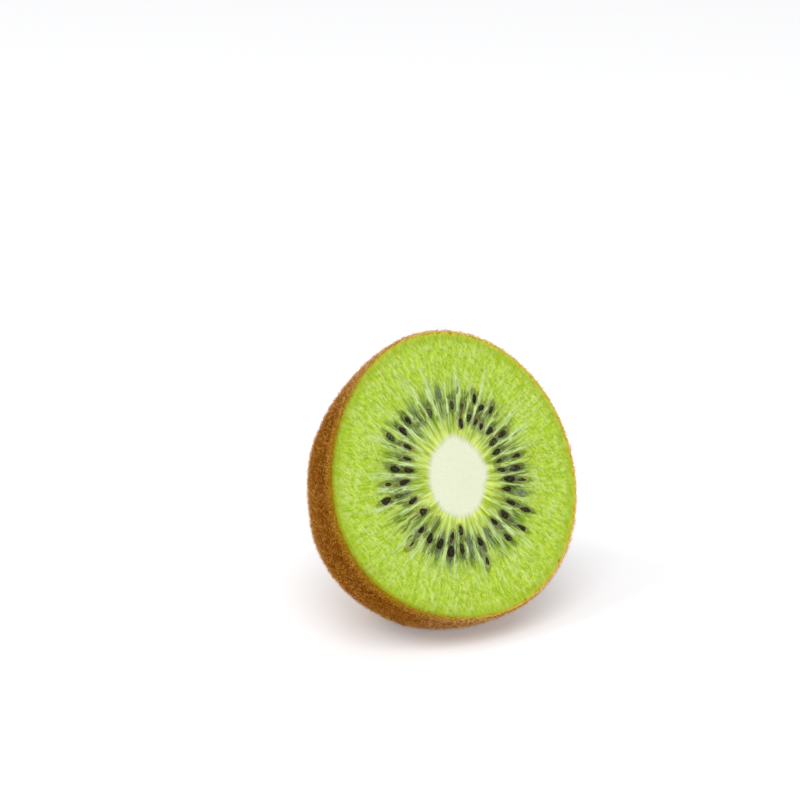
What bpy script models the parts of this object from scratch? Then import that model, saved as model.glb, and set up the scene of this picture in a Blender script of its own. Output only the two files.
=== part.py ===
# Half a kiwi fruit, cut across its middle. It lies on the side of its rounded
# end, with the cut face turned up and to the front (-Y).
# Metres, +Z up. The origin is the middle of the box's bottom, at the flat spot
# that the half rests on.

import math
import random

import bpy
from mathutils import Matrix, Vector

# Driving dimensions of the fruit
CUT_LONG = 0.0277
CUT_SHORT = 0.0250
DEPTH = 0.0326

# The skin's outline from the cut to the rounded end: a power curve, where 2 is
# an ellipse, swollen a little below the cut
DOME_POWER = 2.08
DOME_BULGE = 0.023
DOME_RINGS = 20

# The nub at the rounded end, with the scar of the stalk sunk in it
NUB_HEIGHT = 0.0010
NUB_RADIUS = 0.0045
SCAR_RADIUS = 0.0016
SCAR_FLOOR = 0.65
SCAR_DEPTH = 0.0006

# The pale core, which runs down through the flesh
CORE_LONG = 0.0078
CORE_SHORT = 0.0060
CORE_SHIFT = (0.0005, -0.0003)
CORE_TURN = math.radians(12.0)
CORE_LENGTH = 0.0262
CORE_POWER = 2.6
CORE_RINGS = 7
CORE_SIDES = 48
CORE_GAP = 0.0003

# The seed chambers lie round the core like spokes. Places on the cut face are
# an angle and a share of the way from the face's middle to its edge
CHAMBERS = 36
CHAMBER_START = 0.34
CHAMBER_END = 0.72
CHAMBER_SINK = 0.00045
RAY_RISE = 0.00012
FACE_RINGS = (0.12, 0.36, 0.44, 0.53, 0.62, 0.71, 0.86)

# Seeds, one or two to a chamber
SEED_LENGTH = 0.0021
SEED_WIDTH = 0.00115
SEED_THICKNESS = 0.00095
SEED_SIDES = 6
SEED_BANDS = 4
SEED_TAPER = 0.32
SEED_RISE = 0.0001
INNER_ROW = (0.365, 0.50)
ROW_STEP = (0.10, 0.16)
EMPTY_CHAMBERS = 0.14
DOUBLE_CHAMBERS = 0.45
RANDOM_SEED = 11

# The pose: the cut face's normal leans this far from upright to the front, and
# the face's longer axis is turned in its own plane
LEAN = math.radians(57.9)
ROLL = math.radians(-29.0)
REST_CUT = 0.0012

SKIN_COLOUR = (0.26, 0.12, 0.035, 1.0)
FLESH_COLOUR = (0.42, 0.62, 0.07, 1.0)
CORE_COLOUR = (0.86, 0.87, 0.62, 1.0)
SEED_COLOUR = (0.014, 0.010, 0.014, 1.0)


def clear_scene():
    for item in list(bpy.data.objects):
        bpy.data.objects.remove(item)


def new_collection(name):
    collection = bpy.data.collections.new(name)
    bpy.context.scene.collection.children.link(collection)
    return collection


def principled(name, colour, roughness):
    """A plain material: colour and roughness, no metal."""
    material = bpy.data.materials.new(name)
    material.use_nodes = True
    shader = material.node_tree.nodes["Principled BSDF"]
    shader.inputs["Base Color"].default_value = colour
    shader.inputs["Roughness"].default_value = roughness
    shader.inputs["Metallic"].default_value = 0.0
    material.diffuse_color = colour
    return material


def apply_modifiers(piece):
    """Give a piece the mesh that its modifiers make, and drop them."""
    evaluated = piece.evaluated_get(bpy.context.evaluated_depsgraph_get())
    mesh = bpy.data.meshes.new_from_object(evaluated)
    piece.modifiers.clear()
    piece.data = mesh


def turned(name, outline, sides, collection):
    """A solid turned round Z from (radius, height) points, listed top to bottom."""
    mesh = bpy.data.meshes.new(name)
    points = [(radius, 0.0, height) for radius, height in outline]
    edges = [(index, index + 1) for index in range(len(points) - 1)]
    mesh.from_pydata(points, edges, [])
    piece = bpy.data.objects.new(name, mesh)
    collection.objects.link(piece)
    screw = piece.modifiers.new("turn", "SCREW")
    screw.axis = "Z"
    screw.angle = math.tau
    screw.steps = sides
    screw.render_steps = sides
    screw.use_merge_vertices = True
    screw.merge_threshold = 0.00001
    apply_modifiers(piece)
    return piece


def reshape(piece, place):
    """Move every vertex to the place that a function gives for it."""
    for vertex in piece.data.vertices:
        vertex.co = place(vertex.co.copy())


def chamber_angle(turn):
    """Where an evenly spaced spoke really stands: some crowd, some spread."""
    return turn + 0.050 * math.sin(2.0 * turn + 0.9) + 0.028 * math.sin(5.0 * turn + 2.1)


def swell(value, start, end):
    """0 outside start to end, and 1 midway, with soft ends."""
    if value <= start or value >= end:
        return 0.0
    return math.sin(math.pi * (value - start) / (end - start)) ** 2


def face_height(turn, share):
    """Height of the cut face: sunk in the chambers, raised in the rays between."""
    spoke = math.cos(CHAMBERS * turn)
    band = swell(share, CHAMBER_START, CHAMBER_END)
    return band * (RAY_RISE * max(-spoke, 0.0) - CHAMBER_SINK * max(spoke, 0.0))


def dome_outline():
    """Share of the cut's half width, and height, from the cut's edge to the end."""
    points = []
    for ring in range(DOME_RINGS + 1):
        turn = 0.5 * math.pi * ring / DOME_RINGS
        down = math.sin(turn) ** (2.0 / DOME_POWER)
        across = max(math.cos(turn), 0.0) ** (2.0 / DOME_POWER)
        across *= 1.0 + DOME_BULGE * 4.0 * down * (1.0 - down) ** 2
        points.append((across, -DEPTH * down))
    middle = 0.5 * (CUT_LONG + CUT_SHORT)
    scar = SCAR_RADIUS / middle
    points[-1:] = [(scar, -DEPTH), (SCAR_FLOOR * scar, SCAR_DEPTH - DEPTH),
                   (0.0, SCAR_DEPTH - DEPTH)]
    return [(across, height - nub(across * middle)) for across, height in points]


def nub(radius):
    """How far the rounded end stands out past the plain curve."""
    return NUB_HEIGHT * math.exp(-(radius / NUB_RADIUS) ** 2)


def make_flesh(collection):
    """The fruit in one piece, skin and flesh: a turned solid made oval."""
    face = [(0.0, 0.0)] + [(share, 0.0) for share in FACE_RINGS]
    flesh = turned("flesh", face + dome_outline(), 2 * CHAMBERS, collection)

    def place(point):
        share = math.hypot(point.x, point.y)
        turn = math.atan2(point.y, point.x)
        height = point.z
        if height == 0.0:
            height = face_height(turn, share)
        angle = chamber_angle(turn)
        return Vector((CUT_SHORT * share * math.cos(angle),
                       CUT_LONG * share * math.sin(angle), height))

    reshape(flesh, place)
    return flesh


def make_plug(name, grow, top, collection):
    """The core's form, grown all round by a margin: flat on top, round at its end."""
    outline = [(0.0, top), (1.0, top)]
    for ring in range(CORE_RINGS + 1):
        turn = 0.5 * math.pi * ring / CORE_RINGS
        down = math.sin(turn) ** (2.0 / CORE_POWER)
        across = max(math.cos(turn), 0.0) ** (2.0 / CORE_POWER)
        outline.append((across, -(CORE_LENGTH + grow) * down))
    if top == 0.0:
        del outline[1]
    plug = turned(name, outline, CORE_SIDES, collection)
    turn = Matrix.Rotation(CORE_TURN, 3, "Z")

    def place(point):
        oval = Vector(((CORE_SHORT + grow) * point.x, (CORE_LONG + grow) * point.y, point.z))
        return turn @ oval + Vector((*CORE_SHIFT, 0.0))

    reshape(plug, place)
    return plug


def seed_places():
    """Angle, share of the way out, and twist of every seed, chamber by chamber."""
    draw = random.Random(RANDOM_SEED)
    places = []
    for chamber in range(CHAMBERS):
        angle = chamber_angle(math.tau * chamber / CHAMBERS)
        share = draw.uniform(*INNER_ROW)
        step = draw.uniform(*ROW_STEP)
        twists = (draw.uniform(-0.3, 0.3), draw.uniform(-0.3, 0.3))
        kind = draw.random()
        if kind < EMPTY_CHAMBERS:
            continue
        if kind > 1.0 - DOUBLE_CHAMBERS:
            places.append((angle, share + step, twists[1]))
        elif chamber % 2:
            share += 0.6 * step
        places.append((angle, share, twists[0]))
    return places


def make_seed(angle, share, twist, collection):
    """One seed: a drop with its narrow end to the core, half sunk in its chamber."""
    middle = Vector((CUT_SHORT * share * math.cos(angle), CUT_LONG * share * math.sin(angle), 0.0))
    outward = math.atan2(middle.y - CORE_SHIFT[1], middle.x - CORE_SHIFT[0])
    bpy.ops.mesh.primitive_uv_sphere_add(segments=SEED_SIDES, ring_count=SEED_BANDS, radius=0.5)
    seed = bpy.context.object
    seed.name = "seed"
    for owner in list(seed.users_collection):
        owner.objects.unlink(seed)
    collection.objects.link(seed)
    turn = Matrix.Rotation(outward + twist, 4, "Z") @ Matrix.Rotation(0.5 * math.pi, 4, "Y")

    def place(point):
        narrow = 1.0 + SEED_TAPER * 2.0 * point.z
        size = Vector((SEED_THICKNESS * narrow * point.x, SEED_WIDTH * narrow * point.y,
                       SEED_LENGTH * point.z))
        return turn @ size + middle + Vector((0.0, 0.0, SEED_RISE - 0.5 * CHAMBER_SINK))

    reshape(seed, place)
    return seed


def fuse(piece, additions):
    """Join a collection's solids to a piece with one union, then remove them."""
    union = piece.modifiers.new("fuse", "BOOLEAN")
    union.operation = "UNION"
    union.operand_type = "COLLECTION"
    union.collection = additions
    apply_modifiers(piece)
    for item in list(additions.objects):
        bpy.data.objects.remove(item)
    bpy.data.collections.remove(additions)


def cut(piece, cutter):
    """Take a cutter's shape out of a piece. The cutter stays as a wire guide."""
    difference = piece.modifiers.new(cutter.name, "BOOLEAN")
    difference.operation = "DIFFERENCE"
    difference.object = cutter
    cutter.display_type = "WIRE"
    cutter.hide_render = True


def world_points(piece):
    return [piece.matrix_world @ vertex.co for vertex in piece.data.vertices]


def stand(holder, piece):
    """Set the holder down so that the rest cut is at the floor, below the middle."""
    bpy.context.view_layer.update()
    points = world_points(piece)
    lows = [min(point[axis] for point in points) for axis in range(3)]
    highs = [max(point[axis] for point in points) for axis in range(3)]
    holder.location = (-0.5 * (lows[0] + highs[0]), -0.5 * (lows[1] + highs[1]),
                       -lows[2] - REST_CUT)


def make_floor_cutter(collection):
    """A block under the floor that leaves the flat spot the half rests on."""
    bpy.ops.mesh.primitive_cube_add(size=1.0)
    block = bpy.context.object
    block.name = "rest_cut"
    block.scale = (4.0 * CUT_LONG, 4.0 * CUT_LONG, CUT_LONG)
    block.location = (0.0, 0.0, -0.5 * CUT_LONG)
    for owner in list(block.users_collection):
        owner.objects.unlink(block)
    collection.objects.link(block)
    return block


def shade(piece, *materials):
    for material in materials:
        piece.data.materials.append(material)
    piece.data.shade_smooth()
    piece.data.set_sharp_from_angle(angle=math.radians(35.0))


def colour_flesh(flesh):
    """Green on the cut face, black on the seeds and brown on the skin."""
    shade(flesh, principled("skin", SKIN_COLOUR, 0.85), principled("flesh", FLESH_COLOUR, 0.35),
          principled("seed", SEED_COLOUR, 0.3))
    for face in flesh.data.polygons:
        height = face.center.z
        share = math.hypot(face.center.x / CUT_SHORT, face.center.y / CUT_LONG)
        if height > -CHAMBER_SINK and share < 0.995:
            face.material_index = 1
        if height > RAY_RISE and share < 0.8:
            face.material_index = 2


def main():
    clear_scene()
    parts = new_collection("kiwi_half")
    cutters = new_collection("cutters")

    flesh = make_flesh(parts)
    seeds = new_collection("seeds")
    for angle, share, twist in seed_places():
        make_seed(angle, share, twist, seeds)
    fuse(flesh, seeds)
    colour_flesh(flesh)
    core = make_plug("core", 0.0, 0.0, parts)
    shade(core, principled("core", CORE_COLOUR, 0.4))
    pocket = make_plug("core_pocket", CORE_GAP, CORE_GAP + SEED_THICKNESS, cutters)

    pose = bpy.data.objects.new("fruit_axis", None)
    parts.objects.link(pose)
    pose.rotation_mode = "ZYX"
    pose.rotation_euler = (LEAN, 0.0, ROLL)
    for piece in (flesh, core, pocket):
        piece.parent = pose
    stand(pose, flesh)
    cut(flesh, pocket)
    cut(flesh, make_floor_cutter(cutters))


main()
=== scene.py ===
# The looks of half a kiwi fruit: wet green flesh with a pale core, seeds in
# their chambers, and a brown skin with short hair. Metres, in the frame's axes.
#
# The fruit is made in its own axes first: X and Y along the shorter and the
# longer axis of the cut face, Z out of it, with the face at zero. Every piece
# is then set down in the frame with one matrix.

import math
import random

import bpy
import numpy as np
from mathutils import Matrix, Vector


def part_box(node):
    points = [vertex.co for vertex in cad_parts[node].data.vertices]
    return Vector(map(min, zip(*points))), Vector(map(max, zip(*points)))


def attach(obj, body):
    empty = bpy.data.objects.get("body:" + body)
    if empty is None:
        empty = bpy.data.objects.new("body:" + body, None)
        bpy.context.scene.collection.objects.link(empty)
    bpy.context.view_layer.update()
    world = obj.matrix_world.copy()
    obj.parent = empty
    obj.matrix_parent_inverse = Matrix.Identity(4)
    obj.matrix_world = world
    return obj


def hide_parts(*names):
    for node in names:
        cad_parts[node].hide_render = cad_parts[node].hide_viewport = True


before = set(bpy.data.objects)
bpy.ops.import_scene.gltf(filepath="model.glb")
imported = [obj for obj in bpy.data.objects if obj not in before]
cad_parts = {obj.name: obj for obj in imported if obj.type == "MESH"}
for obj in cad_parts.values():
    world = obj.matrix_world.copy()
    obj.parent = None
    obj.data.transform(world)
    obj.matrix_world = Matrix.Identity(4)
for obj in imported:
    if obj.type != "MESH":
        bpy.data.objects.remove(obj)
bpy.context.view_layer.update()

MM = 0.001

# The fruit's sizes and pose, as in the frame's source
CUT_LONG = 27.7 * MM
CUT_SHORT = 25.0 * MM
DEPTH = 32.6 * MM
DOME_POWER = 2.08
DOME_BULGE = 0.023
NUB_HEIGHT = 1.0 * MM
NUB_RADIUS = 4.5 * MM
SCAR_RADIUS = 1.6 * MM
SCAR_DEPTH = 0.6 * MM
SCAR_FLAT = 0.55
SCAR_EDGE = (0.8 * SCAR_RADIUS, 1.5 * SCAR_RADIUS)
CORE_LONG = 7.8 * MM
CORE_SHORT = 6.0 * MM
CORE_SHIFT = (0.5 * MM, -0.3 * MM)
CORE_TURN = math.radians(12.0)
CORE_LENGTH = 26.2 * MM
CORE_POWER = 2.6
LEAN = math.radians(57.9)
ROLL = math.radians(-29.0)
MEAN_RADIUS = 0.5 * (CUT_LONG + CUT_SHORT)

# How the cut stands off a true ellipse: three blunt corners, four low ones, and a lean to one
# side. What stands out fades down the skin over one stretch, what lies in over a shorter one.
CORNER_HEIGHT = 0.48 * MM
CORNER_TURN = math.radians(-14.0)
SQUARE_HEIGHT = 0.14 * MM
SQUARE_TURN = math.radians(-39.0)
LOPSIDE = 0.17 * MM
LOPSIDE_TURN = math.radians(-28.0)
SWELL_FADE = (0.3, 1.3)
DENT_FADE = (0.0, 0.45)

# The seed chambers and the seeds' places, as in the frame's source
CHAMBERS = 36
CHAMBER_SINK = 0.45 * MM
SEED_LENGTH = 2.1 * MM
SEED_WIDTH = 1.15 * MM
SEED_THICKNESS = 0.95 * MM
SEED_TAPER = 0.32
INNER_ROW = (0.365, 0.50)
ROW_STEP = (0.10, 0.16)
SEED_TWIST = 0.3
STAGGER = 0.6
EMPTY_CHAMBERS = 0.14
DOUBLE_CHAMBERS = 0.45
RANDOM_SEED = 11

# Waves in the spacing of the chambers: how many to a turn, how far they push, where they start.
# The spacing is counted at this share of the way to the peel.
CROWDING = ((2.0, 0.050, 0.9), (5.0, 0.028, 2.1))
CHAMBER_MIDDLE = 0.35

# The seeds that lie deeper: how many chambers show one, how far out, and how far off its middle
GHOST_CHAMBERS = 0.75
GHOST_ROW = (0.38, 0.66)
GHOST_DRIFT = 0.16
GHOST_TWIST = 0.4

# What each chamber draws, from and to: where its dark gel starts and ends on the way to the peel,
# how wide and deep it is, and how amber its inner end. Each ray draws where it ends and how pale it is.
CHAMBER_STARTS = (0.09, 0.18)
CHAMBER_ENDS = (0.44, 0.70)
CHAMBER_WIDTHS = (0.22, 0.38)
CHAMBER_DEPTHS = (0.5, 1.0)
CHAMBER_AMBERS = (-0.5, 1.0)
RAY_ENDS = (0.50, 0.92)
RAY_PALENESS = (0.45, 1.0)

# What each seed draws, from and to: its size, its width, its lift in millimetres and its tip
SEED_SIZES = (0.80, 1.12)
SEED_WIDTHS = (0.72, 1.08)
SEED_LIFTS = (-0.33, 0.02)
SEED_TIPS = (-0.26, 0.26)
SEED_UNEVEN = 0.09
SEED_UNEVEN_CELL = 0.42 * MM
SEED_SIDES = 20
SEED_BANDS = 14

# The grid of the cut face: spokes round it, rings in the core and in the flesh
SPOKES = 840
CORE_RINGS = 26
FLESH_RINGS = 88
FLESH_WIDTH = 18.5 * MM
CORE_WIDTH = 6.9 * MM

# Below the face: the peel's thickness, and the sides of the flesh and of the core's plug, with
# their rings, where they start and end, and the play between plug and pocket
PEEL = 0.24 * MM
INSIDE_PEEL = 1.0 - PEEL / CUT_SHORT
SIDE_RINGS = 11
SIDE_FALLS = (0.02 * math.pi, 0.485 * math.pi)
PLUG_RINGS = 7
POCKET_RINGS = 5
PLUG_FALLS = (0.06 * math.pi, 0.49 * math.pi)
PLUG_PLAY = 0.02 * MM
POCKET_PLAY = 0.01 * MM

# Relief of the cut face
WAVE_HEIGHT = 0.16 * MM
WAVE_CELL = 7.0 * MM
GRAIN_HEIGHT = 0.075 * MM
FIBRE_HEIGHT = 0.045 * MM
RAY_HEIGHT = 0.16 * MM
COLLAR_HEIGHT = 0.12 * MM
EDGE_DROP = 0.12 * MM
CORE_GRAIN = 0.02 * MM
CORE_GRAIN_CELL = 0.45 * MM
COARSE_STROKE = (1.1 * MM, 0.46 * MM)
FINE_STROKE = (0.6 * MM, 0.30 * MM)
STROKE_LEAN = math.radians(-33.5)
STROKE_DRIFT_CELL = 1.5 * MM

# The frayed outlines of the cut face's parts: cells to a radian and to the peel, how chambers
# bend, the core's soft edge, and the yellow halo round it
FRAY_COARSE = (45.0, 45.0, 6.0)
FRAY_FINE = (90.0, 90.0, 9.0)
CHAMBER_BEND = 0.14
CHAMBER_BEND_CELL = 2.2 * MM
CORE_FRAY = 0.25 * MM
CORE_INSET = 0.08 * MM
CORE_FADE = (-1.2 * MM, 1.0 * MM)
HALO_WIDTH = 1.8 * MM

# The lobes of the core's edge. Their count and their draw aren't left to chance: of 56,000 pairs
# tried, this one came nearest to the core's outline measured in the photo. The height fits too.
CORE_LOBES = 13
CORE_LOBE_DRAW = 5216
CORE_LOBE_HEIGHT = 0.47 * MM

# The sides of the cut where its chambers are darkest and its rim is driest
DARK_TURN = math.radians(-20.0)
DRY_TURN = math.radians(40.0)
DRY_FADE = (-0.9, 0.4)

# The skin's grid, relief and cut edge
SKIN_SPOKES = 360
SKIN_RINGS = 96
SKIN_END = 0.497 * math.pi
SKIN_INSIDE_RINGS = 9
SKIN_INSIDE_END = 0.48 * math.pi
SKIN_LUMPS = 0.16 * MM
SKIN_LUMP_CELL = 6.0 * MM
SKIN_BUMPS = 0.05 * MM
SKIN_BUMP_CELL = 1.3 * MM
RIM_FRAY = 0.06 * MM
RIM_WAVE = 0.05 * MM
RIM_STEP = 0.1 * MM
RIM_SLANT = 0.04 * MM
GOLD_FALL = 0.045

# Where the skin is paler: at its far end, its own pale brown; and partly on the sides away from its
# golden one, painted sheen of grazing light and of light thrown up from the floor
FAR_FALLS = (0.28, 0.85)
SHEEN_SIDES = 0.7
SHEEN_FADE = (-0.1, 0.9)
GOLDEN_TURN = math.radians(217.0)

# Hair: the cells of the skin that it is dealt out to, the falls that it keeps to, its root, droop,
# taper and clearance, and how much paler it is at the rim, which is painted sheen
HAIR_CELLS = (240, 90)
HAIR_END = 0.495
HAIR_FALLS = (0.002, 0.494 * math.pi)
ROOT_SINK = 0.06 * MM
HAIR_DROOP = 0.8
HAIR_TAPER = 0.55
HAIR_CLEARANCE = 0.03 * MM
RIM_SHEEN = 0.4

# The camera: where it stands, how far off, and where the middle of the cut
# face shows in an 800 pixel frame
PHOTO = 800.0
AZIMUTH = math.radians(-31.1)
ELEVATION = math.radians(20.0)
DISTANCE = 450.0 * MM
SENSOR = 36.0
FACE_PIXEL = (455.4, 474.6)
PIXELS_PER_MM = 5.44

# The floor, and the point that the lamps look at
FLOOR_SIZE = 8.0
FLOOR_DROP = 0.05 * MM
LAMP_TARGET = (0.0, 0.0, 0.02)

# Cells to a side of the noise's table, and the angle from which an edge counts as sharp
NOISE_TABLE = 64
SHARP_ANGLE = math.radians(60.0)


def smooth(value, low, high):
    """0 below low, 1 above high, with soft ends, for numbers or arrays."""
    part = np.clip((value - low) / (high - low), 0.0, 1.0)
    return part * part * (3.0 - 2.0 * part)


def noise(points, cell, seed):
    """Smooth noise in -1 to 1 at rows of points, with cells of the given size."""
    table = np.random.default_rng(seed).uniform(-1.0, 1.0, (NOISE_TABLE,) * 3)
    place = np.asarray(points) / cell
    low = np.floor(place).astype(int)
    part = place - low
    part = part * part * (3.0 - 2.0 * part)
    total = np.zeros(place.shape[:-1])
    for corner in np.ndindex(2, 2, 2):
        pick = [(low[..., axis] + corner[axis]) % NOISE_TABLE for axis in range(3)]
        weight = np.ones_like(total)
        for axis in range(3):
            weight = weight * (part[..., axis] if corner[axis] else 1.0 - part[..., axis])
        total += weight * table[pick[0], pick[1], pick[2]]
    return total


def ring_noise(turn, count, seed):
    """Smooth noise in -1 to 1 round the fruit, with that many cells to a turn."""
    values = np.random.default_rng(seed).uniform(-1.0, 1.0, count)
    place = (turn / math.tau % 1.0) * count
    cell = np.floor(place).astype(int)
    part = place - cell
    part = part * part * (3.0 - 2.0 * part)
    return values[cell % count] * (1.0 - part) + values[(cell + 1) % count] * part


def strokes(points, length, width, seed):
    """Noise in short strokes that all lean one way across the cut, as a knife leaves them."""
    drift = 0.5 * width * noise(points, STROKE_DRIFT_CELL, seed + 1)[..., None]
    x = points[..., :1] * math.cos(STROKE_LEAN) + points[..., 1:2] * math.sin(STROKE_LEAN)
    y = points[..., 1:2] * math.cos(STROKE_LEAN) - points[..., :1] * math.sin(STROKE_LEAN)
    return noise(np.concatenate([x / length, (y + drift) / width, 0.0 * x], axis=-1), 1.0, seed)


def fibres(shape, along, across, slant, seed):
    """Noise on a grid of rings by spokes, smeared outwards, so that it runs in threads."""
    grain_and_highlight = np.random.default_rng(seed).normal(size=shape)
    total = np.zeros(shape)
    rows = np.arange(shape[0])
    for step in range(-along, along + 1):
        weight = math.cos(0.5 * math.pi * step / (along + 1)) ** 2
        source = np.clip(rows + step, 0, shape[0] - 1)
        total += weight * np.roll(grain_and_highlight[source], round(step * slant), axis=1)
    spread = np.zeros(shape)
    for step in range(-across, across + 1):
        weight = math.cos(0.5 * math.pi * step / (across + 1)) ** 2
        spread += weight * np.roll(total, step, axis=1)
    return spread / spread.std()


def swell(turn, fall=0.0):
    """How far the fruit stands outside a true ellipse, as a share of its radius."""
    rise = CORNER_HEIGHT * np.cos(3.0 * (turn - CORNER_TURN))
    rise = rise + SQUARE_HEIGHT * np.cos(4.0 * (turn - SQUARE_TURN))
    rise = rise + LOPSIDE * np.cos(turn - LOPSIDE_TURN)
    fade = np.where(rise > 0.0, 1.0 - smooth(fall, *SWELL_FADE), 1.0 - smooth(fall, *DENT_FADE))
    return rise * fade / MEAN_RADIUS


def dome(turn, fall, corners=1.0):
    """A point of the skin: turn goes round, fall from the cut (0) to the end (pi/2).

    With corners at 0 it is the solid's own form, over a true ellipse.
    """
    down = np.sin(fall) ** (2.0 / DOME_POWER)
    across = np.clip(np.cos(fall), 0.0, 1.0) ** (2.0 / DOME_POWER)
    across = across * (1.0 + DOME_BULGE * 4.0 * down * (1.0 - down) ** 2)
    across = across * (1.0 + corners * swell(turn, fall))
    radius = across * MEAN_RADIUS
    height = -DEPTH * down - NUB_HEIGHT * np.exp(-(radius / NUB_RADIUS) ** 2)
    height = height + SCAR_DEPTH * (1.0 - smooth(radius, SCAR_FLAT * SCAR_RADIUS, SCAR_RADIUS))
    return np.stack([CUT_SHORT * across * np.cos(turn), CUT_LONG * across * np.sin(turn),
                     height + 0.0 * turn], axis=-1)


def placing():
    """The matrix that sets the fruit down in the frame, fitted to the CAD box."""
    pose = Matrix.Rotation(LEAN, 4, "X") @ Matrix.Rotation(ROLL, 4, "Z")
    turns, falls = np.meshgrid(np.linspace(0.0, math.tau, 361), np.linspace(0.0, 0.5 * math.pi, 91))
    cloud = dome(turns, falls, 0.0).reshape(-1, 3) @ np.array(pose.to_3x3()).T
    low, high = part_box("flesh")
    shift = [0.5 * (low[axis] + high[axis] - cloud[:, axis].min() - cloud[:, axis].max())
             for axis in range(2)]
    shift.append(high[2] - cloud[:, 2].max())
    return Matrix.Translation(shift) @ pose


PLACE = placing()
PLACE_TURN = np.array(PLACE.to_3x3())
PLACE_SHIFT = np.array(PLACE.translation)


def set_down(points, floor=0.0):
    """Points of the fruit's own axes, in the frame, none of them below the floor."""
    placed = np.asarray(points) @ PLACE_TURN.T + PLACE_SHIFT
    placed[..., 2] = np.maximum(placed[..., 2], floor)
    return placed


def new_piece(name, points, faces, material, masks):
    """A mesh object from arrays, with point masks as named attributes."""
    mesh = bpy.data.meshes.new(name)
    mesh.from_pydata(np.asarray(points).tolist(), [], faces)
    for label, values in masks.items():
        values = np.asarray(values, dtype=np.float32)
        kind, slot = ("FLOAT_VECTOR", "vector") if values.ndim == 2 else ("FLOAT", "value")
        layer = mesh.attributes.new(label, kind, "POINT")
        layer.data.foreach_set(slot, values.ravel())
    mesh.materials.append(material)
    mesh.shade_smooth()
    mesh.set_sharp_from_angle(angle=SHARP_ANGLE)
    piece = bpy.data.objects.new(name, mesh)
    bpy.context.scene.collection.objects.link(piece)
    return piece


def wrapped(rows, start, end):
    """Points and faces of a closed skin over rows of spokes, with a pole at each end."""
    count, spokes = rows.shape[:2]
    points = np.concatenate([rows.reshape(-1, 3), [start, end]])
    first, last = count * spokes, count * spokes + 1
    faces = []
    after = [(spoke + 1) % spokes for spoke in range(spokes)]
    for spoke in range(spokes):
        faces.append((first, after[spoke], spoke))
    for row in range(count - 1):
        base = row * spokes
        for spoke in range(spokes):
            faces.append((base + spoke, base + after[spoke], base + spokes + after[spoke],
                          base + spokes + spoke))
    base = (count - 1) * spokes
    for spoke in range(spokes):
        faces.append((base + spoke, base + after[spoke], last))
    return points, [face[::-1] for face in faces]


def chamber_angle(turn):
    """Where an evenly spaced spoke really stands: some crowd, some spread."""
    angle = turn
    for count, push, start in CROWDING:
        angle += push * math.sin(count * turn + start)
    return angle


def seed_places():
    """Angle, share of the way out, and twist of every seed, chamber by chamber."""
    draw = random.Random(RANDOM_SEED)
    places = []
    for chamber in range(CHAMBERS):
        angle = chamber_angle(math.tau * chamber / CHAMBERS)
        share = draw.uniform(*INNER_ROW)
        step = draw.uniform(*ROW_STEP)
        twists = [draw.uniform(-SEED_TWIST, SEED_TWIST) for row in range(2)]
        kind = draw.random()
        if kind < EMPTY_CHAMBERS:
            continue
        if kind > 1.0 - DOUBLE_CHAMBERS:
            places.append((angle, share + step, twists[1]))
        elif chamber % 2:
            share += STAGGER * step
        places.append((angle, share, twists[0]))
    return places


def ghost_places():
    """Seeds that lie deeper, seen dimly through the flesh of their chambers."""
    draw = random.Random(RANDOM_SEED + 1)
    places = []
    for chamber in range(CHAMBERS):
        middle = chamber + draw.uniform(-GHOST_DRIFT, GHOST_DRIFT)
        angle = chamber_angle(math.tau * middle / CHAMBERS)
        if draw.random() < GHOST_CHAMBERS:
            share = draw.uniform(*GHOST_ROW)
            places.append((angle, share, draw.uniform(-GHOST_TWIST, GHOST_TWIST)))
    return places


def core_edge(turn, short, long):
    """The core's outline, an ellipse turned a little in the face's plane."""
    x = short * np.cos(turn - CORE_TURN)
    y = long * np.sin(turn - CORE_TURN)
    return np.stack([x * math.cos(CORE_TURN) - y * math.sin(CORE_TURN),
                     x * math.sin(CORE_TURN) + y * math.cos(CORE_TURN)], axis=-1)


def face_point(turn, out):
    """A place on the cut face. out is -1 at the core's middle, 0 at its edge, 1 at the peel."""
    core = core_edge(turn, CORE_SHORT, CORE_LONG)
    rim = np.stack([(CUT_SHORT - PEEL) * np.cos(turn), (CUT_LONG - PEEL) * np.sin(turn)], axis=-1)
    rim = rim * (1.0 + swell(turn))[..., None]
    shift = np.array(CORE_SHIFT)
    inner = shift + core * (1.0 + np.minimum(out, 0.0))[..., None]
    part = np.clip(out, 0.0, 1.0)[..., None]
    return inner * (1.0 - part) + rim * part


def chamber_places():
    """The spokes' own angles of the chambers, counted along face_point's turns."""
    turns = np.linspace(0.0, math.tau, 3601)
    middle = face_point(turns, np.full_like(turns, CHAMBER_MIDDLE))
    angles = np.unwrap(np.arctan2(middle[:, 1] / CUT_LONG, middle[:, 0] / CUT_SHORT))
    wanted = np.array([chamber_angle(math.tau * chamber / CHAMBERS)
                       for chamber in range(CHAMBERS)])
    start = angles[0]
    wanted = start + (wanted - start) % math.tau
    return np.sort(np.interp(wanted, angles, turns))


CHAMBER_TURNS = chamber_places()


def chamber_count(turn):
    """Whole numbers at the chambers' middles, halves at the rays between them."""
    marks = np.concatenate([[CHAMBER_TURNS[-1] - math.tau], CHAMBER_TURNS,
                            [CHAMBER_TURNS[0] + math.tau]])
    return np.interp(turn % math.tau, marks, np.arange(-1, CHAMBERS + 1))


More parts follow.
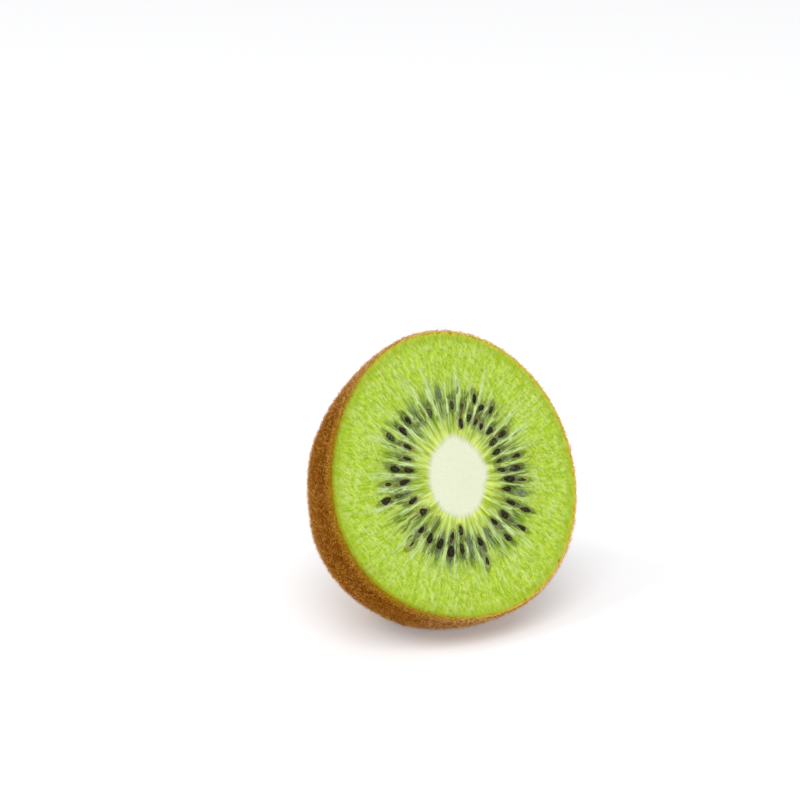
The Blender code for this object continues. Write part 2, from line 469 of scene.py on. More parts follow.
def seed_shadow(points, reach, places, tail=0.0):
    """1 at each seed, falling off over a reach round it, drawn out by a tail to the peel."""
    total = np.zeros(points.shape[:-1])
    for angle, share, twist in places:
        middle = np.array([CUT_SHORT * share * math.cos(angle), CUT_LONG * share * math.sin(angle)])
        outward = seed_heading(middle, twist)
        away = points[..., :2] - middle
        along = away[..., 0] * math.cos(outward) + away[..., 1] * math.sin(outward)
        across = away[..., 1] * math.cos(outward) - away[..., 0] * math.sin(outward)
        along = np.where(along > 0.0, along / (1.0 + tail), along)
        distance = np.hypot(along / (0.5 * SEED_LENGTH), across / (0.5 * SEED_WIDTH)) - 1.0
        total = np.maximum(total, 1.0 - smooth(distance, 0.0, reach))
    return total


def seed_heading(middle, twist):
    """The direction in which a seed points: away from the core's middle, a little twisted."""
    return math.atan2(middle[1] - CORE_SHIFT[1], middle[0] - CORE_SHIFT[0]) + twist


def dry_side(turn):
    """1 where the rim of the cut is pale and dry, 0 on the side where it is moist and olive."""
    return smooth(np.cos(turn - DRY_TURN), *DRY_FADE)


def face_look(turn, out):
    """Places of the cut face, with relief, and the masks that its material reads."""
    flat = face_point(turn, out)
    points = np.concatenate([flat, np.zeros_like(flat[..., :1])], axis=-1)
    gap = np.where(out > 0.0, out * FLESH_WIDTH, out * CORE_WIDTH)
    spoke = np.stack([np.cos(turn), np.sin(turn), out], axis=-1)
    fray = noise(spoke * FRAY_COARSE, 1.0, 8) + 0.6 * noise(spoke * FRAY_FINE, 1.0, 9)

    # Which chamber and which ray each point belongs to, and how far it lies off the chamber's middle
    bend = CHAMBER_BEND * noise(points, CHAMBER_BEND_CELL, 5)
    count = chamber_count(turn) + bend * smooth(out, 0.05, 0.3)
    chamber = np.round(count).astype(int) % CHAMBERS
    ray = np.floor(count).astype(int) % CHAMBERS
    off = np.abs(count - np.round(count)) + 0.07 * fray
    draw = np.random.default_rng(17)
    starts = draw.uniform(*CHAMBER_STARTS, CHAMBERS)[chamber]
    ends = draw.uniform(*CHAMBER_ENDS, CHAMBERS)[chamber]
    widths = draw.uniform(*CHAMBER_WIDTHS, CHAMBERS)[chamber]
    shade = 0.74 + 0.14 * np.cos(turn - DARK_TURN) + 0.12 * np.cos(2.0 * (turn - DARK_TURN))
    strength = draw.uniform(*CHAMBER_DEPTHS, CHAMBERS)[chamber] * shade
    golden = draw.uniform(*CHAMBER_AMBERS, CHAMBERS)[chamber]
    ray_ends = draw.uniform(*RAY_ENDS, CHAMBERS)[ray]
    ray_pale = draw.uniform(*RAY_PALENESS, CHAMBERS)[ray]
    ray_pale = ray_pale * (1.0 - 0.4 * smooth(np.cos(turn - DARK_TURN), 0.2, 0.9))

    # The gel of the chambers and the rays between them, both thinning out towards the peel
    part = np.clip((out + 0.03 * fray - starts) / (ends - starts), 0.0, 1.0)
    body = 0.4 + 0.6 * smooth(part, 0.0, 0.35) - 0.35 * smooth(part, 0.5, 1.0)
    sunk = smooth(widths * body - off, -0.10, 0.20) * smooth(part, 0.0, 0.2)
    sunk = sunk * (1.0 - smooth(part + 0.10 * fray, 0.45, 1.0))
    pale_ray = smooth(off, 0.20, 0.46) * smooth(out, 0.02, 0.12) * ray_pale
    pale_ray = pale_ray * (1.0 - smooth(out + 0.05 * fray, 0.45 * ray_ends, ray_ends))

    # The core's lobed edge, the halo round it, and the amber stains between core and gel
    lobes = ring_noise(turn, CORE_LOBES, CORE_LOBE_DRAW)
    edge = CORE_FRAY * fray - CORE_INSET - CORE_LOBE_HEIGHT * lobes
    pale = 1.0 - smooth(gap + edge, *CORE_FADE)
    halo = (1.0 - pale) * np.exp(-np.maximum(gap, 0.0) / HALO_WIDTH)
    amber = smooth(golden, 0.1, 0.8) * (1.0 - smooth(off, 0.05, 0.30)) * smooth(out, 0.04, 0.16)
    amber = amber * (1.0 - smooth(out + 0.05 * fray, 0.16, 0.40))

    # What lies round the seeds, those that show and those that lie deeper
    seeds = seed_places()
    stain = seed_shadow(points, 0.8, seeds, 0.7) * (1.0 - pale)
    collar = seed_shadow(points, 0.6, seeds)
    # A pale, broken ring round the seeds: painted sheen on the wet rim of flesh that holds them
    seed_rim_sheen = collar * smooth(ring_noise(turn, 150, 12) + 0.4 * fray, -0.1, 0.5) * (1.0 - pale)
    ghost = seed_shadow(points, 0.8, ghost_places()) * (1.0 - stain) * smooth(sunk, 0.0, 0.9)

    height = WAVE_HEIGHT * noise(points, WAVE_CELL, 21)
    height = height + CORE_GRAIN * noise(points, CORE_GRAIN_CELL, 22)
    height = height - CHAMBER_SINK * sunk * strength + RAY_HEIGHT * pale_ray + COLLAR_HEIGHT * collar
    points[..., 2] = height
    outer = smooth(out, 0.30, 0.66)
    rim = smooth(out, 0.86, 1.0)
    zone = smooth(out + 0.03 * fray, 0.10, 0.24) * (1.0 - smooth(out + 0.05 * fray, 0.38, 0.62))
    masks = {"pale": pale, "halo": halo, "zone": zone, "seed_rim_sheen": seed_rim_sheen, "sunk": sunk * strength,
             "ray": pale_ray, "outer": outer, "rim": rim, "stain": stain, "ghost": ghost,
             "amber": amber, "deep": smooth(part, 0.45, 1.0), "spoke": spoke,
             "dry": dry_side(turn)}
    return points, masks


def add_fibres(points, masks, out):
    """Grain and threads of the flesh, added to a grid of rings by spokes."""
    shape = points.shape[:2]
    threads = fibres(shape, 10, 1, 0.15, 31) + 0.6 * fibres(shape, 5, 0, -0.2, 34)
    grain_and_highlight = 1.6 * strokes(points, *COARSE_STROKE, 32) + 1.6 * strokes(points, *FINE_STROKE, 35)
    grain_and_highlight = grain_and_highlight + 0.5 * threads
    fade = smooth(out, 0.015, 0.12)
    calm = 1.0 - 0.75 * masks["sunk"]
    height = GRAIN_HEIGHT * grain_and_highlight * masks["outer"] + FIBRE_HEIGHT * threads * (1.0 - masks["outer"])
    points[..., 2] += height * fade * calm
    points[..., 2] -= EDGE_DROP * smooth(out, 0.975, 1.0)
    # The grain's height as a mask: raised grain is painted paler, partly pale fibres, partly painted
    # highlight
    masks["grain_and_highlight"] = 0.5 + 0.25 * grain_and_highlight * fade


def srgb(red, green, blue):
    """A colour given as it looks on a screen, 0 to 255, as linear light with alpha."""
    linear = [((value / 255.0 + 0.055) / 1.055) ** 2.4 for value in (red, green, blue)]
    return (*linear, 1.0)


class Shader:
    """A material's node tree with short calls for the nodes used here."""

    def __init__(self, name):
        self.material = bpy.data.materials.new(name)
        self.material.use_nodes = True
        self.tree = self.material.node_tree
        self.output = self.tree.nodes["Principled BSDF"]

    def link(self, value, socket):
        if isinstance(value, bpy.types.NodeSocket):
            self.tree.links.new(value, socket)
        else:
            socket.default_value = value

    def mask(self, name):
        node = self.tree.nodes.new("ShaderNodeAttribute")
        node.attribute_name = name
        return node.outputs["Fac"]

    def noise(self, size, detail=3.0, roughness=0.55):
        """Noise with features of about a size in metres, in the object's own place."""
        place = self.tree.nodes.new("ShaderNodeTexCoord")
        return self.texture(place.outputs["Object"], 1.0 / size, detail, roughness)

    def texture(self, vector, scale, detail, roughness):
        node = self.tree.nodes.new("ShaderNodeTexNoise")
        node.inputs["Scale"].default_value = scale
        node.inputs["Detail"].default_value = detail
        node.inputs["Roughness"].default_value = roughness
        self.tree.links.new(vector, node.inputs["Vector"])
        return node.outputs["Fac"]

    def placed(self, vector, rotation, cells):
        """A vector seen along turned axes and counted in cells of the given sizes."""
        node = self.tree.nodes.new("ShaderNodeMapping")
        node.vector_type = "TEXTURE"
        node.inputs["Rotation"].default_value = rotation
        node.inputs["Scale"].default_value = cells
        self.tree.links.new(vector, node.inputs["Vector"])
        return node.outputs["Vector"]

    def stroke_noise(self, length, width, detail=3.0, roughness=0.55):
        """Noise in strokes that lean one way across the cut face."""
        place = self.tree.nodes.new("ShaderNodeTexCoord")
        lean = Matrix.Rotation(STROKE_LEAN, 3, "Z")
        rotation = (PLACE.to_3x3() @ lean).to_euler()
        vector = self.placed(place.outputs["Object"], rotation, (length, width, width))
        return self.texture(vector, 1.0, detail, roughness)

    def spoke_noise(self, around, outwards, detail=3.0, roughness=0.55):
        """Noise in threads that run outwards: cells to a radian, and cells to the peel."""
        node = self.tree.nodes.new("ShaderNodeAttribute")
        node.attribute_name = "spoke"
        vector = self.placed(node.outputs["Vector"], (0.0, 0.0, 0.0),
                             (1.0 / around, 1.0 / around, 1.0 / outwards))
        return self.texture(vector, 1.0, detail, roughness)

    def ramp(self, value, low, high, start=0.0, end=1.0):
        """A value spread from low..high to start..end, held at both ends."""
        node = self.tree.nodes.new("ShaderNodeMapRange")
        self.link(value, node.inputs["Value"])
        node.inputs["From Min"].default_value = low
        node.inputs["From Max"].default_value = high
        node.inputs["To Min"].default_value = start
        node.inputs["To Max"].default_value = end
        return node.outputs["Result"]

    def math(self, operation, first, second):
        node = self.tree.nodes.new("ShaderNodeMath")
        node.operation = operation
        self.link(first, node.inputs[0])
        self.link(second, node.inputs[1])
        return node.outputs[0]

    def ragged(self, name, noise, amount, low, high):
        """A mask with its soft edge torn by a noise, then spread from low..high to 0..1."""
        mask = self.mask(name)
        shift = self.math("MULTIPLY", self.math("SUBTRACT", noise, 0.5), 4.0 * amount)
        edge = self.math("MULTIPLY", mask, self.math("SUBTRACT", 1.0, mask))
        return self.ramp(self.math("ADD", mask, self.math("MULTIPLY", edge, shift)), low, high)

    def mix(self, factor, first, second):
        node = self.tree.nodes.new("ShaderNodeMix")
        node.data_type = "RGBA"
        self.link(factor, node.inputs[0])
        self.link(first, node.inputs[6])
        self.link(second, node.inputs[7])
        return node.outputs[2]

    def bump(self, height, distance):
        node = self.tree.nodes.new("ShaderNodeBump")
        node.inputs["Strength"].default_value = 1.0
        node.inputs["Distance"].default_value = distance
        self.link(height, node.inputs["Height"])
        self.tree.links.new(node.outputs["Normal"], self.output.inputs["Normal"])

    def finish(self, **values):
        for label, value in values.items():
            self.link(value, self.output.inputs[label.replace("_", " ")])
        return self.material


def flesh_material():
    """Wet flesh: bright green, rays and chambers, a yellow halo and a creamy core, with painted glints
    and highlights.
    """
    make = Shader("wet_flesh")
    grain_and_highlight = make.mask("grain_and_highlight")
    fine = make.noise(0.28 * MM, detail=4.0)
    broad = make.noise(6.0 * MM, detail=2.0)
    stroke = make.stroke_noise(0.95 * MM, 0.34 * MM, detail=3.0, roughness=0.65)
    thread = make.spoke_noise(23.0, 6.0, detail=4.0, roughness=0.68)
    filament = make.spoke_noise(56.0, 9.0, detail=3.0, roughness=0.6)
    speck = make.noise(0.42 * MM, detail=4.0, roughness=0.7)
    streak = make.spoke_noise(14.0, 2.5, detail=3.0)
    combed = make.spoke_noise(42.0, 12.0, detail=3.0, roughness=0.6)
    soft = make.spoke_noise(11.0, 3.0, detail=4.0, roughness=0.62)
    weave = make.mix(make.ramp(broad, 0.42, 0.58, 0.25, 0.75), stroke, combed)

    green = make.mix(make.ramp(weave, 0.41, 0.58), srgb(153, 187, 2), srgb(195, 221, 64))
    # Paler where the grain stands up: partly the flesh's pale fibres, partly a painted highlight on the
    # ridges
    green = make.mix(make.ramp(grain_and_highlight, 0.45, 0.95, 0.0, 0.6), green, srgb(206, 230, 134))
    # Painted glints: whitish specks where the fine noise is high
    green = make.mix(make.ramp(fine, 0.55, 0.66, 0.0, 0.58), green, srgb(222, 234, 190))
    green = make.mix(make.ramp(broad, 0.4, 0.7, 0.0, 0.22), green, srgb(164, 208, 30))
    inner = make.mix(make.ramp(soft, 0.38, 0.60), srgb(116, 150, 0), srgb(196, 220, 100))
    inner = make.mix(make.ramp(streak, 0.45, 0.7, 0.0, 0.5), inner, srgb(198, 220, 132))
    colour = make.mix(make.ragged("outer", streak, 1.6, 0.15, 0.85), inner, green)
    ray = make.mix(make.ramp(filament, 0.36, 0.58), srgb(152, 190, 66), srgb(222, 240, 188))
    colour = make.mix(make.ragged("ray", thread, 1.0, 0.05, 0.8), colour, ray)
    line = make.ramp(thread, 0.40, 0.49, 0.85, 0.0)
    colour = make.mix(make.math("MULTIPLY", line, make.mask("zone")), colour, srgb(78, 98, 4))
    gel = make.mix(make.ramp(filament, 0.38, 0.58), srgb(58, 72, 8), srgb(154, 176, 108))
    gel = make.mix(make.ramp(streak, 0.48, 0.62, 0.0, 0.6), gel, srgb(126, 144, 116))
    gel = make.mix(make.mask("deep"), gel, srgb(108, 162, 8))
    colour = make.mix(make.ragged("sunk", thread, 2.0, 0.08, 0.68), colour, gel)
    halo = make.mix(make.ramp(soft, 0.36, 0.58), srgb(160, 188, 4), srgb(230, 245, 126))
    colour = make.mix(make.ragged("halo", thread, 1.0, 0.10, 0.80), colour, halo)
    colour = make.mix(make.ragged("amber", thread, 2.0, 0.25, 1.5), colour, srgb(140, 138, 0))
    ghost = make.mix(make.ramp(speck, 0.40, 0.60), srgb(56, 62, 40), srgb(134, 146, 124))
    colour = make.mix(make.ragged("ghost", speck, 2.0, 0.1, 1.3), colour, ghost)
    stain = make.mix(make.ramp(streak, 0.46, 0.58), srgb(36, 38, 0), srgb(84, 58, 20))
    colour = make.mix(make.ragged("stain", speck, 3.5, 0.30, 1.65), colour, stain)
    # Painted sheen: a pale ring round the seeds
    colour = make.mix(make.ramp(make.mask("seed_rim_sheen"), 0.2, 0.8, 0.0, 0.18), colour, srgb(196, 218, 146))
    colour = make.mix(make.ramp(make.mask("rim"), 0.0, 0.6, 0.0, 0.55), colour, srgb(158, 184, 10))
    last = make.mix(make.mask("dry"), srgb(152, 150, 0), srgb(202, 198, 64))
    colour = make.mix(make.ramp(make.mask("rim"), 0.82, 1.0, 0.0, 0.9), colour, last)
    cream = make.mix(make.ramp(fine, 0.35, 0.7), srgb(230, 234, 202), srgb(238, 242, 218))
    colour = make.mix(make.ragged("pale", filament, 0.6, 0.1, 0.9), colour, cream)
    relief = make.math("ADD", make.math("MULTIPLY", fine, 0.4), weave)
    relief = make.math("MULTIPLY", relief, make.math("SUBTRACT", 1.0, make.mask("pale")))
    make.bump(relief, 0.16 * MM)
    make.output.inputs["Subsurface Radius"].default_value = (0.8, 1.0, 0.35)
    return make.finish(Base_Color=colour, Roughness=0.28, IOR=1.36, Specular_IOR_Level=0.35,
                       Subsurface_Weight=0.12, Subsurface_Scale=0.4 * MM)


def seed_material():
    """Seeds: near black to brown, with a film of green juice in places."""
    make = Shader("seed_coat")
    tone = make.mask("tone")
    pits = make.noise(0.16 * MM, detail=2.0)
    juice = make.noise(0.30 * MM, detail=4.0, roughness=0.7)
    colour = make.mix(tone, srgb(12, 6, 0), srgb(38, 22, 4))
    colour = make.mix(make.ramp(pits, 0.45, 0.75, 0.0, 0.35), colour, srgb(66, 54, 34))
    cover = make.math("ADD", juice, make.math("MULTIPLY", make.mask("veil"), 0.16))
    colour = make.mix(make.ramp(cover, 0.56, 0.66, 0.0, 0.8), colour, srgb(100, 112, 60))
    make.bump(pits, 0.12 * MM)
    return make.finish(Base_Color=colour, Roughness=0.26, IOR=1.45, Specular_IOR_Level=0.22)


def skin_material():
    """Brown skin: pale brown at its far end, painted sheen on its upper and lower side, olive gold
    where light comes through it beside the cut.
    """
    make = Shader("brown_skin")
    patches = make.noise(5.0 * MM, detail=3.0)
    specks = make.noise(0.35 * MM, detail=3.0)
    colour = make.mix(make.ramp(patches, 0.35, 0.7), srgb(108, 58, 2), srgb(140, 80, 6))
    tan_and_sheen = make.mix(make.ramp(patches, 0.35, 0.7), srgb(150, 100, 44), srgb(178, 124, 60))
    # Pale brown at the far end; on the upper and lower side the same colour is painted sheen and bounce
    # light
    colour = make.mix(make.mask("tan_and_sheen"), colour, tan_and_sheen)
    dark = make.mix(make.mask("tan_and_sheen"), srgb(70, 34, 0), srgb(108, 66, 26))
    colour = make.mix(make.ramp(specks, 0.45, 0.65, 0.0, 0.7), colour, dark)
    colour = make.mix(make.mask("gold"), colour, srgb(150, 118, 0))
    speckle = make.ramp(specks, 0.40, 0.60)
    moist = make.mix(speckle, srgb(134, 106, 0), srgb(172, 138, 24))
    dry = make.mix(speckle, srgb(198, 164, 40), srgb(240, 206, 100))
    edge = make.mix(make.mask("dry"), moist, dry)
    colour = make.mix(make.mask("peel_cut"), colour, edge)
    colour = make.mix(make.mask("scar"), colour, srgb(58, 40, 26))
    make.bump(specks, 0.08 * MM)
    return make.finish(Base_Color=colour, Roughness=0.85, Specular_IOR_Level=0.0)


def hair_material():
    """Hair: brown at the root, golden at the tip, straw at the skin's pale brown end and as painted
    sheen on its upper and lower side.
    """
    make = Shader("skin_hair")
    tone = make.math("POWER", make.mask("tone"), 1.8)
    dark = make.mix(tone, srgb(132, 73, 2), srgb(196, 119, 10))
    light = make.mix(tone, srgb(174, 98, 2), srgb(255, 204, 100))
    colour = make.mix(make.ramp(make.mask("along"), 0.0, 0.6), dark, light)
    dark = make.mix(tone, srgb(168, 110, 44), srgb(224, 160, 78))
    light = make.mix(tone, srgb(214, 150, 68), srgb(255, 234, 176))
    straw = make.mix(make.ramp(make.mask("along"), 0.0, 0.6), dark, light)
    # Straw where the skin is pale brown, and as painted sheen on its upper and lower side
    colour = make.mix(make.mask("tan_and_sheen"), colour, straw)
    return make.finish(Base_Color=colour, Roughness=0.6, Specular_IOR_Level=0.08)


def grid(rings, low, high):
    """A grid of rings by spokes: the spokes' turns, and steps from low to high over the rings."""
    turns = np.arange(SPOKES) / SPOKES * math.tau
    steps = np.linspace(low, high, rings)
    return np.broadcast_to(turns, (rings, SPOKES)), np.broadcast_to(steps[:, None], (rings, SPOKES))


def plug_rows(shrink, rings):
    """Rows down the core's side to its round end, below the cut face."""
    turns, falls = grid(rings, *PLUG_FALLS)
    down = np.sin(falls) ** (2.0 / CORE_POWER)
    across = np.cos(falls) ** (2.0 / CORE_POWER)
    edge = core_edge(turns, CORE_SHORT - shrink, CORE_LONG - shrink) * across[..., None]
    depth = -(CORE_LENGTH - shrink) * down
    return np.concatenate([edge + np.array(CORE_SHIFT), depth[..., None]], axis=-1)


def with_blank_rows(masks, before, after):
    """Masks of the face's rows, with zeros for the rows and poles that don't show."""
    full = {}
    for label, values in masks.items():
        flat = values.reshape(values.shape[0] * values.shape[1], -1)
        blank_before = np.zeros((before * SPOKES, flat.shape[1]))
        blank_after = np.zeros((after * SPOKES + 2, flat.shape[1]))
        full[label] = np.squeeze(np.concatenate([blank_before, flat, blank_after]))
    return full


def make_core(material):
    """The core: the middle of the cut face over a plug that runs into the fruit."""
    turns, outs = grid(CORE_RINGS, -1.0 + 1.0 / CORE_RINGS, 0.0)
    face, masks = face_look(turns, outs)
    masks["grain_and_highlight"] = np.full(outs.shape, 0.5)
    wall = plug_rows(PLUG_PLAY, PLUG_RINGS)
    rows = np.concatenate([face, wall])
    points, faces = wrapped(rows, face[0].mean(axis=0),
                            (*CORE_SHIFT, -CORE_LENGTH + PLUG_PLAY))
    full = with_blank_rows(masks, 0, len(wall))
    # The pole in the middle of the face is as pale as what lies round it
    full["pale"][-2] = 1.0
    piece = new_piece("kiwi_core", set_down(points), faces, material, full)
    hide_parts("core")
    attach(piece, "root")


def make_flesh(material):
    """The green flesh: the cut face round the core, and the body under the skin."""
    turns, outs = grid(FLESH_RINGS, 0.0, 1.0)
    face, masks = face_look(turns, outs)
    add_fibres(face, masks, outs)
    pocket = plug_rows(-POCKET_PLAY, POCKET_RINGS)[::-1]
    side_turns, falls = grid(SIDE_RINGS, *SIDE_FALLS)
    side = dome(side_turns, falls) * INSIDE_PEEL
    rows = np.concatenate([pocket, face, side])
    bottom = (*CORE_SHIFT, -CORE_LENGTH - POCKET_PLAY)
    tip = dome(np.array(0.0), np.array(0.5 * math.pi)) * INSIDE_PEEL
    points, faces = wrapped(rows, bottom, tip)
    full = with_blank_rows(masks, len(pocket), len(side))
    piece = new_piece("kiwi_flesh", set_down(points, PEEL), faces, material, full)
    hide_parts("flesh")
    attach(piece, "root")


def skin_tan_and_sheen(turn, fall):
    """How pale brown the skin is: fully at the far end, its own colour, and in part on its upper and
    lower side, which is painted sheen and bounce light.
    """
    painted_sheen = SHEEN_SIDES * smooth(-np.cos(2.0 * (turn - GOLDEN_TURN)), *SHEEN_FADE)
    return np.maximum(smooth(fall, *FAR_FALLS), painted_sheen)


def skin_relief(points):
    """How far the skin's lumps and bumps lift it."""
    return (SKIN_LUMPS * noise(points, SKIN_LUMP_CELL, 41)
            + SKIN_BUMPS * noise(points, SKIN_BUMP_CELL, 42))


def skin_point(turn, fall):
    """A point of the skin with its lumps, and the way out of it."""
    step = 0.002
    low = np.clip(fall - step, 0.0, 0.5 * math.pi - 2.0 * step)
    down = dome(turn, low + 2.0 * step) - dome(turn, low)
    round_way = dome(turn + step, np.minimum(fall, 0.5 * math.pi - step))
    round_way = round_way - dome(turn - step, np.minimum(fall, 0.5 * math.pi - step))
    normal = np.cross(down, round_way)
    normal = normal / np.linalg.norm(normal, axis=-1, keepdims=True)
    plain = dome(turn, fall)
    fade = smooth(fall, 0.0, 0.08)[..., None]
    return plain + normal * skin_relief(plain)[..., None] * fade, normal


def make_peel(material):
    """The skin: a thin shell round the flesh, with its own cut edge."""
    turns = np.arange(SKIN_SPOKES) / SKIN_SPOKES * math.tau
    falls = np.linspace(0.0, SKIN_END, SKIN_RINGS)
    wide_turns, wide_falls = np.meshgrid(turns, falls)
    outer, normal = skin_point(wide_turns, wide_falls)
    lift = RIM_FRAY * ring_noise(turns, 130, 51) + RIM_WAVE * ring_noise(turns, 40, 52)
    outer[0, :, 2] = lift
    outer[1, :, 2] = np.minimum(outer[1, :, 2], lift - RIM_STEP)
    inside_falls = np.linspace(SKIN_INSIDE_END, 0.0, SKIN_INSIDE_RINGS)
    inner_turns, inner_falls = np.meshgrid(turns, inside_falls)
    inner = dome(inner_turns, inner_falls) * INSIDE_PEEL
    inner[-1, :, 2] = lift - RIM_SLANT
    rows = np.concatenate([inner, outer])
    tip = dome(np.array(0.0), np.array(0.5 * math.pi))
    points, faces = wrapped(rows, tip * INSIDE_PEEL, tip)
    along = np.concatenate([np.zeros(inner.shape[:2]), wide_falls])
    inside = np.concatenate([np.ones(inner.shape[:2]), np.zeros(outer.shape[:2])])
    gold = np.exp(-(along / GOLD_FALL) ** 2) * (1.0 - inside)
    radius = np.hypot(rows[..., 0], rows[..., 1])
    scar = (1.0 - smooth(radius, *SCAR_EDGE)) * (rows[..., 2] < -0.5 * DEPTH)
    cut = inside.copy()
    cut[len(inner)] = 1.0
    all_turns = np.concatenate([inner_turns, wide_turns])
    # One mask holds the far end's pale brown and the painted sheen on the upper and lower side
    masks = {"gold": gold, "scar": scar, "peel_cut": cut, "tan_and_sheen": skin_tan_and_sheen(all_turns, along),
             "dry": dry_side(all_turns)}
    full = {label: np.concatenate([values.ravel(), [0.0, 1.0 if label in ("scar", "tan_and_sheen") else 0.0]])
            for label, values in masks.items()}
    piece = new_piece("kiwi_skin", set_down(points), faces, material, full)
    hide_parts("flesh")
    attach(piece, "root")


def drop_mesh(around, bands):
    """Unit points and faces of a seed: long along Z, narrow at its lower end."""
    points = []
    for band in range(1, bands):
        fall = math.pi * band / bands
        for side in range(around):
            turn = math.tau * side / around
            z = 0.5 * math.cos(fall)
            radius = 0.5 * math.sin(fall) ** 0.9 * (1.0 + SEED_TAPER * 2.0 * z)
            points.append((radius * math.cos(turn), radius * math.sin(turn), z))
    rows = np.array(points).reshape(bands - 1, around, 3)
    return wrapped(rows, (0.0, 0.0, 0.5), (0.0, 0.0, -0.5))


def make_seeds(material):
    """All seeds as one piece: half sunk, each a little different."""
    draw = random.Random(61)
    unit, unit_faces = drop_mesh(SEED_SIDES, SEED_BANDS)
    points = []
    faces = []
    tones = []
    veils = []
    for angle, share, twist in seed_places():
        middle = np.array([CUT_SHORT * share * math.cos(angle), CUT_LONG * share * math.sin(angle)])
        heading = seed_heading(middle, twist)
        size = draw.uniform(*SEED_SIZES)
        lift = draw.uniform(*SEED_LIFTS) * MM
        tip = draw.uniform(*SEED_TIPS)
        turn = Matrix.Rotation(heading, 3, "Z") @ Matrix.Rotation(0.5 * math.pi + tip, 3, "Y")
        width = SEED_WIDTH * draw.uniform(*SEED_WIDTHS)
        shape = unit * np.array([SEED_THICKNESS, width, SEED_LENGTH])
        uneven = SEED_UNEVEN * noise(shape, SEED_UNEVEN_CELL, draw.randrange(1000))
        placed = shape * (1.0 + uneven)[:, None] * size @ np.array(turn).T
        base = sum(len(part) for part in points)
        points.append(placed + np.array([*middle, lift]))
        faces += [tuple(index + base for index in face) for face in unit_faces]
        tones += [draw.random()] * len(unit)
        veils += [draw.random() ** 2 * (0.7 - 0.3 * math.cos(angle - DARK_TURN))] * len(unit)
    piece = new_piece("kiwi_seeds", set_down(np.concatenate(points)), faces, material,
                      {"tone": tones, "veil": veils})
    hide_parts("flesh")
    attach(piece, "root")


def hair_roots(count, seed, low_end):
    """Places on the skin, even by area, with the way out of it and its pale brown and painted sheen
    there.
    """
    draw = np.random.default_rng(seed)
    round_cells, down_cells = HAIR_CELLS
    turns = (np.arange(round_cells) + 0.5) / round_cells * math.tau
    falls = (np.arange(down_cells) + 0.5) / down_cells * HAIR_END * math.pi
    turns, falls = np.meshgrid(turns, falls)
    here = dome(turns, falls)
    down = dome(turns, falls + 0.01) - here
    side = dome(turns + 0.01, falls) - here
    area = np.linalg.norm(np.cross(down, side), axis=-1).ravel()
    area = area * (falls.ravel() < low_end * 0.5 * math.pi)
    cells = draw.choice(area.size, size=count, p=area / area.sum())
    turn = turns.ravel()[cells] + draw.uniform(-0.5, 0.5, count) * math.tau / round_cells
    fall = falls.ravel()[cells] + draw.uniform(-0.5, 0.5, count) * HAIR_END * math.pi / down_cells
    fall = np.clip(fall, *HAIR_FALLS)
    return skin_point(turn, fall), skin_tan_and_sheen(turn, fall), draw


def make_hair(name, count, joints, lengths, thickness, rise, curl, material, seed, low_end=1.0):
    """Hairs as thin closed spikes: three sides, bent at each joint, pointed at the tip.

    low_end is how far down the skin they grow, as a share. Short of 1 they are the rim's hair, made
    paler as painted sheen.
    """
    (roots, normals), tan_and_sheen, draw = hair_roots(count, seed, low_end)
    up = np.array([0.0, 0.0, 1.0])
    first = np.cross(normals, up + 0.001)
    first = first / np.linalg.norm(first, axis=-1, keepdims=True)
    second = np.cross(normals, first)
    length = draw.uniform(*lengths, count)[:, None]
    heading = draw.uniform(0.0, math.tau, count)[:, None]
    bend = draw.normal(0.0, curl, count)[:, None]
    slope = draw.uniform(*rise, count)[:, None]
    here = roots - ROOT_SINK * normals
    rings = []
    for joint in range(joints):
        tilt = slope * (1.0 - HAIR_DROOP * joint / joints)
        way = np.cos(tilt) * (np.cos(heading) * first + np.sin(heading) * second)
        way = way + np.sin(tilt) * normals
        across = np.cross(way, normals)
        across = across / np.linalg.norm(across, axis=-1, keepdims=True)
        above = np.cross(across, way)
        radius = 0.5 * thickness * (1.0 - HAIR_TAPER * joint / joints)
        for side in range(3):
            turn = math.tau * side / 3
            rings.append(here + radius * (math.cos(turn) * across + math.sin(turn) * above))
        here = here + way * length / joints
        heading = heading + bend
    rings.append(here)
    stack = np.stack(rings, axis=1)
    size = 3 * joints + 1
    faces = [(2, 1, 0)]
    for joint in range(joints - 1):
        low = 3 * joint
        for side in range(3):
            nearby = (side + 1) % 3
            faces.append((low + side, low + nearby, low + 3 + nearby, low + 3 + side))
    low = 3 * (joints - 1)
    faces += [(low + side, low + (side + 1) % 3, size - 1) for side in range(3)]
    bases = (np.arange(count) * size).tolist()
    all_faces = [tuple(base + index for index in face) for base in bases for face in faces]
    points = set_down(stack.reshape(-1, 3), HAIR_CLEARANCE)
    tone = np.repeat(draw.uniform(0.0, 1.0, count), size)
    steps = np.array([joint / joints for joint in range(joints) for side in range(3)] + [1.0])
    # Painted sheen: the rim's hair starts further along its colour ramp and takes paler tones
    if low_end < 1.0:
        steps = 0.5 + 0.5 * steps
        tone = tone ** RIM_SHEEN
    piece = new_piece(name, points, all_faces, material,
                      {"tone": tone, "along": np.tile(steps, count), "tan_and_sheen": np.repeat(tan_and_sheen, size)})
    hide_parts("flesh")
    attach(piece, "root")


def make_floor():
    """A pale floor that glows a little, like a light table. It belongs to the stage alone."""
    bpy.ops.mesh.primitive_plane_add(size=FLOOR_SIZE, location=(0.0, 0.0, -FLOOR_DROP))
    floor = bpy.context.object
    floor.name = "floor"
    make = Shader("light_table")
    floor.data.materials.append(make.finish(Base_Color=(0.91, 0.915, 0.93, 1.0), Roughness=0.35,
                                            Specular_IOR_Level=0.35, Emission_Strength=0.24,
                                            Emission_Color=(1.0, 1.0, 1.0, 1.0)))


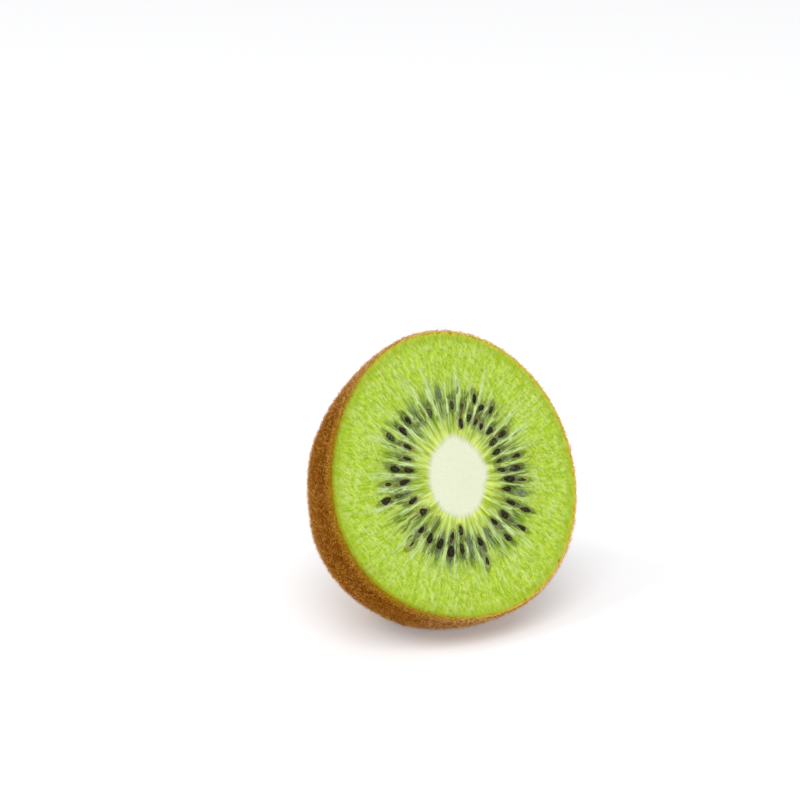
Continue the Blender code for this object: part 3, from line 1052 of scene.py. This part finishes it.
def area_light(name, place, size, power):
    """A round soft lamp that looks at the fruit."""
    lamp = bpy.data.lights.new(name, "AREA")
    lamp.shape = "DISK"
    lamp.size = size
    lamp.energy = power
    holder = bpy.data.objects.new(name, lamp)
    holder.location = place
    aim = Vector(LAMP_TARGET) - Vector(place)
    holder.rotation_euler = aim.to_track_quat("-Z", "Y").to_euler()
    bpy.context.scene.collection.objects.link(holder)


def make_light():
    """Soft studio light: a pale room, a large lamp above the front and a smaller one at the left."""
    world = bpy.data.worlds.new("studio")
    world.use_nodes = True
    world.node_tree.nodes["Background"].inputs["Color"].default_value = (1.0, 1.0, 1.0, 1.0)
    world.node_tree.nodes["Background"].inputs["Strength"].default_value = 0.52
    bpy.context.scene.world = world
    area_light("side", (-1.60, 0.48, 1.54), size=1.2, power=11.2)
    area_light("front", (-0.56, -1.04, 2.10), size=2.0, power=28.6)


def make_camera():
    """Aim the camera so that the middle of the cut lands on its pixel, with no roll there."""
    middle = Vector(PLACE_SHIFT)
    back = Vector((math.sin(AZIMUTH) * math.cos(ELEVATION),
                   -math.cos(AZIMUTH) * math.cos(ELEVATION), math.sin(ELEVATION)))
    data = bpy.data.cameras.new("camera")
    data.sensor_width = SENSOR
    data.lens = SENSOR * DISTANCE / MM * PIXELS_PER_MM / PHOTO
    camera = bpy.data.objects.new("camera", data)
    camera.location = middle + back * DISTANCE
    scale = SENSOR / PHOTO / data.lens
    seen = Vector(((FACE_PIXEL[0] - 0.5 * PHOTO) * scale, (0.5 * PHOTO - FACE_PIXEL[1]) * scale, -1.0))
    straight = (-back).to_track_quat("-Z", "Y")
    camera.rotation_mode = "QUATERNION"
    camera.rotation_quaternion = straight @ seen.rotation_difference(Vector((0.0, 0.0, -1.0)))
    bpy.context.scene.collection.objects.link(camera)
    bpy.context.scene.camera = camera


flesh_look = flesh_material()
hair_look = hair_material()
make_core(flesh_look)
make_flesh(flesh_look)
make_seeds(seed_material())
make_peel(skin_material())
make_hair("kiwi_down", 30000, joints=1, lengths=(0.35 * MM, 0.75 * MM), thickness=0.06 * MM,
          rise=(0.3, 1.2), curl=0.0, material=hair_look, seed=71)
make_hair("kiwi_hair_a", 18000, joints=2, lengths=(0.7 * MM, 1.5 * MM), thickness=0.075 * MM,
          rise=(0.2, 0.9), curl=0.9, material=hair_look, seed=72)
make_hair("kiwi_hair_b", 11500, joints=3, lengths=(0.9 * MM, 1.7 * MM), thickness=0.075 * MM,
          rise=(0.2, 0.8), curl=1.2, material=hair_look, seed=73)
make_hair("kiwi_rim_hair", 2600, joints=2, lengths=(0.4 * MM, 0.9 * MM), thickness=0.07 * MM,
          rise=(0.3, 1.2), curl=0.9, material=hair_look, seed=74, low_end=0.035)
make_floor()
make_light()
make_camera()
bpy.context.scene.view_settings.view_transform = "Standard"
